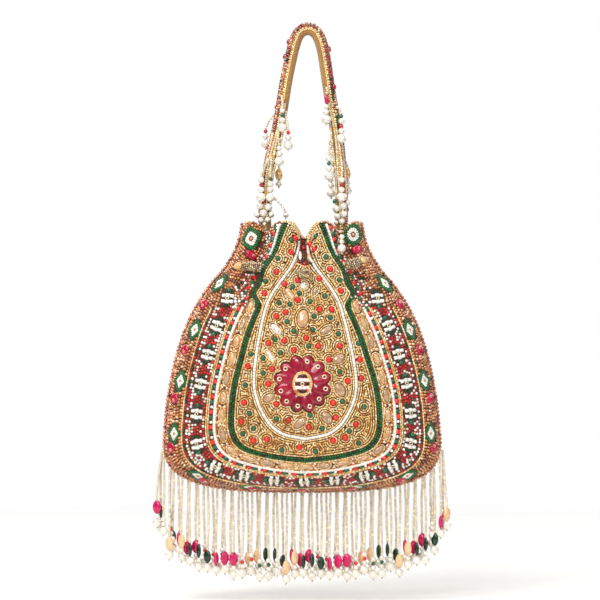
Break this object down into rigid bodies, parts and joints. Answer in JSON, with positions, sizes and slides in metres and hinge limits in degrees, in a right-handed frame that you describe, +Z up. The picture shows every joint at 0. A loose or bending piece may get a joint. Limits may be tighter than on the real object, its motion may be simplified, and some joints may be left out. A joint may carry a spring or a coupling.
{
  "type": "potli bag",
  "caption": "Gathered drawstring pouch with bead-embroidered panels, a padded beaded strap handle and a hanging bead and pearl fringe.",
  "frame": {"origin": "middle of the flat under-face at the top of the strap, where the bag hangs", "axes": "+Z up along the height of the bag, +X to the right seen from the front, front towards -Y"},
  "size_m": [0.2142, 0.0744, 0.4204],
  "materials": {
    "beaded_panel": "cloth covered in glass seed beads, bugles, pearls and stones in gold, red, green and white",
    "lining_satin": "brown satin",
    "strap_cloth": "gold woven fabric over padding",
    "strap_beads": "cloth covered in glass seed beads",
    "loop_beads": "pale metallic seed beads",
    "strand_beads": "champagne seed beads, coloured beads and pearls"
  },
  "bodies": {
    "handle": {"strap_backing": "strap_cloth", "strap_bead_face": "strap_beads"},
    "bag": {"panel_front": "beaded_panel", "panel_back": "beaded_panel", "lining": "lining_satin", "loop_front_centre": "loop_beads", "loop_front_left": "loop_beads", "loop_front_right": "loop_beads", "loop_back_centre": "loop_beads", "loop_back_left": "loop_beads", "loop_back_right": "loop_beads", "collar_strand": "strand_beads"},
    "strap_strand_left_1": {"strap_strand_left_1": "strand_beads"},
    "strap_strand_left_2": {"strap_strand_left_2": "strand_beads"},
    "strap_strand_left_3": {"strap_strand_left_3": "strand_beads"},
    "strap_strand_left_4": {"strap_strand_left_4": "strand_beads"},
    "strap_strand_left_5": {"strap_strand_left_5": "strand_beads"},
    "strap_strand_left_6": {"strap_strand_left_6": "strand_beads"},
    "strap_strand_left_7": {"strap_strand_left_7": "strand_beads"},
    "strap_strand_right_1": {"strap_strand_right_1": "strand_beads"},
    "strap_strand_right_2": {"strap_strand_right_2": "strand_beads"},
    "strap_strand_right_3": {"strap_strand_right_3": "strand_beads"},
    "strap_strand_right_4": {"strap_strand_right_4": "strand_beads"},
    "strap_strand_right_5": {"strap_strand_right_5": "strand_beads"},
    "strap_strand_right_6": {"strap_strand_right_6": "strand_beads"},
    "strap_strand_right_7": {"strap_strand_right_7": "strand_beads"},
    "fringe_01": {"fringe_01": "strand_beads"},
    "fringe_02": {"fringe_02": "strand_beads"},
    "fringe_03": {"fringe_03": "strand_beads"},
    "fringe_04": {"fringe_04": "strand_beads"},
    "fringe_05": {"fringe_05": "strand_beads"},
    "fringe_06": {"fringe_06": "strand_beads"},
    "fringe_07": {"fringe_07": "strand_beads"},
    "fringe_08": {"fringe_08": "strand_beads"},
    "fringe_09": {"fringe_09": "strand_beads"},
    "fringe_10": {"fringe_10": "strand_beads"},
    "fringe_11": {"fringe_11": "strand_beads"},
    "fringe_12": {"fringe_12": "strand_beads"},
    "fringe_13": {"fringe_13": "strand_beads"},
    "fringe_14": {"fringe_14": "strand_beads"},
    "fringe_15": {"fringe_15": "strand_beads"},
    "fringe_16": {"fringe_16": "strand_beads"},
    "fringe_17": {"fringe_17": "strand_beads"},
    "fringe_18": {"fringe_18": "strand_beads"},
    "fringe_19": {"fringe_19": "strand_beads"},
    "fringe_20": {"fringe_20": "strand_beads"},
    "fringe_21": {"fringe_21": "strand_beads"},
    "fringe_22": {"fringe_22": "strand_beads"},
    "fringe_23": {"fringe_23": "strand_beads"},
    "fringe_24": {"fringe_24": "strand_beads"},
    "fringe_25": {"fringe_25": "strand_beads"},
    "fringe_26": {"fringe_26": "strand_beads"},
    "fringe_27": {"fringe_27": "strand_beads"},
    "fringe_28": {"fringe_28": "strand_beads"},
    "fringe_29": {"fringe_29": "strand_beads"},
    "fringe_30": {"fringe_30": "strand_beads"},
    "fringe_31": {"fringe_31": "strand_beads"},
    "fringe_32": {"fringe_32": "strand_beads"},
    "fringe_33": {"fringe_33": "strand_beads"}
  },
  "joints": [
    {"name": "bag_swing", "type": "hinge", "parent": "handle", "child": "bag", "pos_m": [0, 0, -0.142], "axis": [1, 0, 0], "range_deg": [-50, 50]},
    {"name": "strap_strand_left_1_swing", "type": "hinge", "parent": "handle", "child": "strap_strand_left_1", "pos_m": [-0.0148, -0.01, -0.044], "axis": [1, 0, 0], "range_deg": [-40, 0]},
    {"name": "strap_strand_left_2_swing", "type": "hinge", "parent": "handle", "child": "strap_strand_left_2", "pos_m": [-0.0102, -0.01, -0.056], "axis": [1, 0, 0], "range_deg": [-40, 0]},
    {"name": "strap_strand_left_3_swing", "type": "hinge", "parent": "handle", "child": "strap_strand_left_3", "pos_m": [-0.024, 0.01, -0.054], "axis": [1, 0, 0], "range_deg": [0, 40]},
    {"name": "strap_strand_left_4_swing", "type": "hinge", "parent": "handle", "child": "strap_strand_left_4", "pos_m": [-0.0169, -0.01, -0.076], "axis": [1, 0, 0], "range_deg": [-40, 0]},
    {"name": "strap_strand_left_5_swing", "type": "hinge", "parent": "handle", "child": "strap_strand_left_5", "pos_m": [-0.0174, 0.01, -0.08], "axis": [1, 0, 0], "range_deg": [0, 40]},
    {"name": "strap_strand_left_6_swing", "type": "hinge", "parent": "handle", "child": "strap_strand_left_6", "pos_m": [-0.0306, -0.01, -0.092], "axis": [1, 0, 0], "range_deg": [-40, 0]},
    {"name": "strap_strand_left_7_swing", "type": "hinge", "parent": "handle", "child": "strap_strand_left_7", "pos_m": [-0.0236, -0.01, -0.09], "axis": [1, 0, 0], "range_deg": [-40, 0]},
    {"name": "strap_strand_right_1_swing", "type": "hinge", "parent": "handle", "child": "strap_strand_right_1", "pos_m": [0.0202, -0.01, -0.038], "axis": [1, 0, 0], "range_deg": [-40, 0]},
    {"name": "strap_strand_right_2_swing", "type": "hinge", "parent": "handle", "child": "strap_strand_right_2", "pos_m": [0.0294, -0.01, -0.052], "axis": [1, 0, 0], "range_deg": [-40, 0]},
    {"name": "strap_strand_right_3_swing", "type": "hinge", "parent": "handle", "child": "strap_strand_right_3", "pos_m": [0.0234, 0.01, -0.064], "axis": [1, 0, 0], "range_deg": [0, 40]},
    {"name": "strap_strand_right_4_swing", "type": "hinge", "parent": "handle", "child": "strap_strand_right_4", "pos_m": [0.0202, -0.01, -0.078], "axis": [1, 0, 0], "range_deg": [-40, 0]},
    {"name": "strap_strand_right_5_swing", "type": "hinge", "parent": "handle", "child": "strap_strand_right_5", "pos_m": [0.034, 0.01, -0.086], "axis": [1, 0, 0], "range_deg": [0, 40]},
    {"name": "strap_strand_right_6_swing", "type": "hinge", "parent": "handle", "child": "strap_strand_right_6", "pos_m": [0.022, 0.01, -0.098], "axis": [1, 0, 0], "range_deg": [0, 40]},
    {"name": "strap_strand_right_7_swing", "type": "hinge", "parent": "handle", "child": "strap_strand_right_7", "pos_m": [0.0296, -0.01, -0.09], "axis": [1, 0, 0], "range_deg": [-40, 0]},
    {"name": "fringe_01_swing", "type": "hinge", "parent": "bag", "child": "fringe_01", "pos_m": [-0.1045, 0, -0.31193], "axis": [1, 0, 0], "range_deg": [-35, 35]},
    {"name": "fringe_02_swing", "type": "hinge", "parent": "bag", "child": "fringe_02", "pos_m": [-0.09797, 0, -0.32548], "axis": [1, 0, 0], "range_deg": [-35, 35]},
    {"name": "fringe_03_swing", "type": "hinge", "parent": "bag", "child": "fringe_03", "pos_m": [-0.09144, 0, -0.3306], "axis": [1, 0, 0], "range_deg": [-35, 35]},
    {"name": "fringe_04_swing", "type": "hinge", "parent": "bag", "child": "fringe_04", "pos_m": [-0.08491, 0, -0.33391], "axis": [1, 0, 0], "range_deg": [-35, 35]},
    {"name": "fringe_05_swing", "type": "hinge", "parent": "bag", "child": "fringe_05", "pos_m": [-0.07838, 0, -0.33627], "axis": [1, 0, 0], "range_deg": [-35, 35]},
    {"name": "fringe_06_swing", "type": "hinge", "parent": "bag", "child": "fringe_06", "pos_m": [-0.07184, 0, -0.33805], "axis": [1, 0, 0], "range_deg": [-35, 35]},
    {"name": "fringe_07_swing", "type": "hinge", "parent": "bag", "child": "fringe_07", "pos_m": [-0.06531, 0, -0.3394], "axis": [1, 0, 0], "range_deg": [-35, 35]},
    {"name": "fringe_08_swing", "type": "hinge", "parent": "bag", "child": "fringe_08", "pos_m": [-0.05878, 0, -0.34045], "axis": [1, 0, 0], "range_deg": [-35, 35]},
    {"name": "fringe_09_swing", "type": "hinge", "parent": "bag", "child": "fringe_09", "pos_m": [-0.05225, 0, -0.34124], "axis": [1, 0, 0], "range_deg": [-35, 35]},
    {"name": "fringe_10_swing", "type": "hinge", "parent": "bag", "child": "fringe_10", "pos_m": [-0.04572, 0, -0.34184], "axis": [1, 0, 0], "range_deg": [-35, 35]},
    {"name": "fringe_11_swing", "type": "hinge", "parent": "bag", "child": "fringe_11", "pos_m": [-0.03919, 0, -0.34228], "axis": [1, 0, 0], "range_deg": [-35, 35]},
    {"name": "fringe_12_swing", "type": "hinge", "parent": "bag", "child": "fringe_12", "pos_m": [-0.03266, 0, -0.34258], "axis": [1, 0, 0], "range_deg": [-35, 35]},
    {"name": "fringe_13_swing", "type": "hinge", "parent": "bag", "child": "fringe_13", "pos_m": [-0.02612, 0, -0.34279], "axis": [1, 0, 0], "range_deg": [-35, 35]},
    {"name": "fringe_14_swing", "type": "hinge", "parent": "bag", "child": "fringe_14", "pos_m": [-0.01959, 0, -0.34291], "axis": [1, 0, 0], "range_deg": [-35, 35]},
    {"name": "fringe_15_swing", "type": "hinge", "parent": "bag", "child": "fringe_15", "pos_m": [-0.01306, 0, -0.34297], "axis": [1, 0, 0], "range_deg": [-35, 35]},
    {"name": "fringe_16_swing", "type": "hinge", "parent": "bag", "child": "fringe_16", "pos_m": [-0.00653, 0, -0.343], "axis": [1, 0, 0], "range_deg": [-35, 35]},
    {"name": "fringe_17_swing", "type": "hinge", "parent": "bag", "child": "fringe_17", "pos_m": [0, 0, -0.343], "axis": [1, 0, 0], "range_deg": [-35, 35]},
    {"name": "fringe_18_swing", "type": "hinge", "parent": "bag", "child": "fringe_18", "pos_m": [0.00653, 0, -0.343], "axis": [1, 0, 0], "range_deg": [-35, 35]},
    {"name": "fringe_19_swing", "type": "hinge", "parent": "bag", "child": "fringe_19", "pos_m": [0.01306, 0, -0.34297], "axis": [1, 0, 0], "range_deg": [-35, 35]},
    {"name": "fringe_20_swing", "type": "hinge", "parent": "bag", "child": "fringe_20", "pos_m": [0.01959, 0, -0.34291], "axis": [1, 0, 0], "range_deg": [-35, 35]},
    {"name": "fringe_21_swing", "type": "hinge", "parent": "bag", "child": "fringe_21", "pos_m": [0.02612, 0, -0.34279], "axis": [1, 0, 0], "range_deg": [-35, 35]},
    {"name": "fringe_22_swing", "type": "hinge", "parent": "bag", "child": "fringe_22", "pos_m": [0.03266, 0, -0.34258], "axis": [1, 0, 0], "range_deg": [-35, 35]},
    {"name": "fringe_23_swing", "type": "hinge", "parent": "bag", "child": "fringe_23", "pos_m": [0.03919, 0, -0.34228], "axis": [1, 0, 0], "range_deg": [-35, 35]},
    {"name": "fringe_24_swing", "type": "hinge", "parent": "bag", "child": "fringe_24", "pos_m": [0.04572, 0, -0.34184], "axis": [1, 0, 0], "range_deg": [-35, 35]},
    {"name": "fringe_25_swing", "type": "hinge", "parent": "bag", "child": "fringe_25", "pos_m": [0.05225, 0, -0.34124], "axis": [1, 0, 0], "range_deg": [-35, 35]},
    {"name": "fringe_26_swing", "type": "hinge", "parent": "bag", "child": "fringe_26", "pos_m": [0.05878, 0, -0.34045], "axis": [1, 0, 0], "range_deg": [-35, 35]},
    {"name": "fringe_27_swing", "type": "hinge", "parent": "bag", "child": "fringe_27", "pos_m": [0.06531, 0, -0.3394], "axis": [1, 0, 0], "range_deg": [-35, 35]},
    {"name": "fringe_28_swing", "type": "hinge", "parent": "bag", "child": "fringe_28", "pos_m": [0.07184, 0, -0.33805], "axis": [1, 0, 0], "range_deg": [-35, 35]},
    {"name": "fringe_29_swing", "type": "hinge", "parent": "bag", "child": "fringe_29", "pos_m": [0.07838, 0, -0.33627], "axis": [1, 0, 0], "range_deg": [-35, 35]},
    {"name": "fringe_30_swing", "type": "hinge", "parent": "bag", "child": "fringe_30", "pos_m": [0.08491, 0, -0.33391], "axis": [1, 0, 0], "range_deg": [-35, 35]},
    {"name": "fringe_31_swing", "type": "hinge", "parent": "bag", "child": "fringe_31", "pos_m": [0.09144, 0, -0.3306], "axis": [1, 0, 0], "range_deg": [-35, 35]},
    {"name": "fringe_32_swing", "type": "hinge", "parent": "bag", "child": "fringe_32", "pos_m": [0.09797, 0, -0.32548], "axis": [1, 0, 0], "range_deg": [-35, 35]},
    {"name": "fringe_33_swing", "type": "hinge", "parent": "bag", "child": "fringe_33", "pos_m": [0.1045, 0, -0.31193], "axis": [1, 0, 0], "range_deg": [-35, 35]}
  ]
}
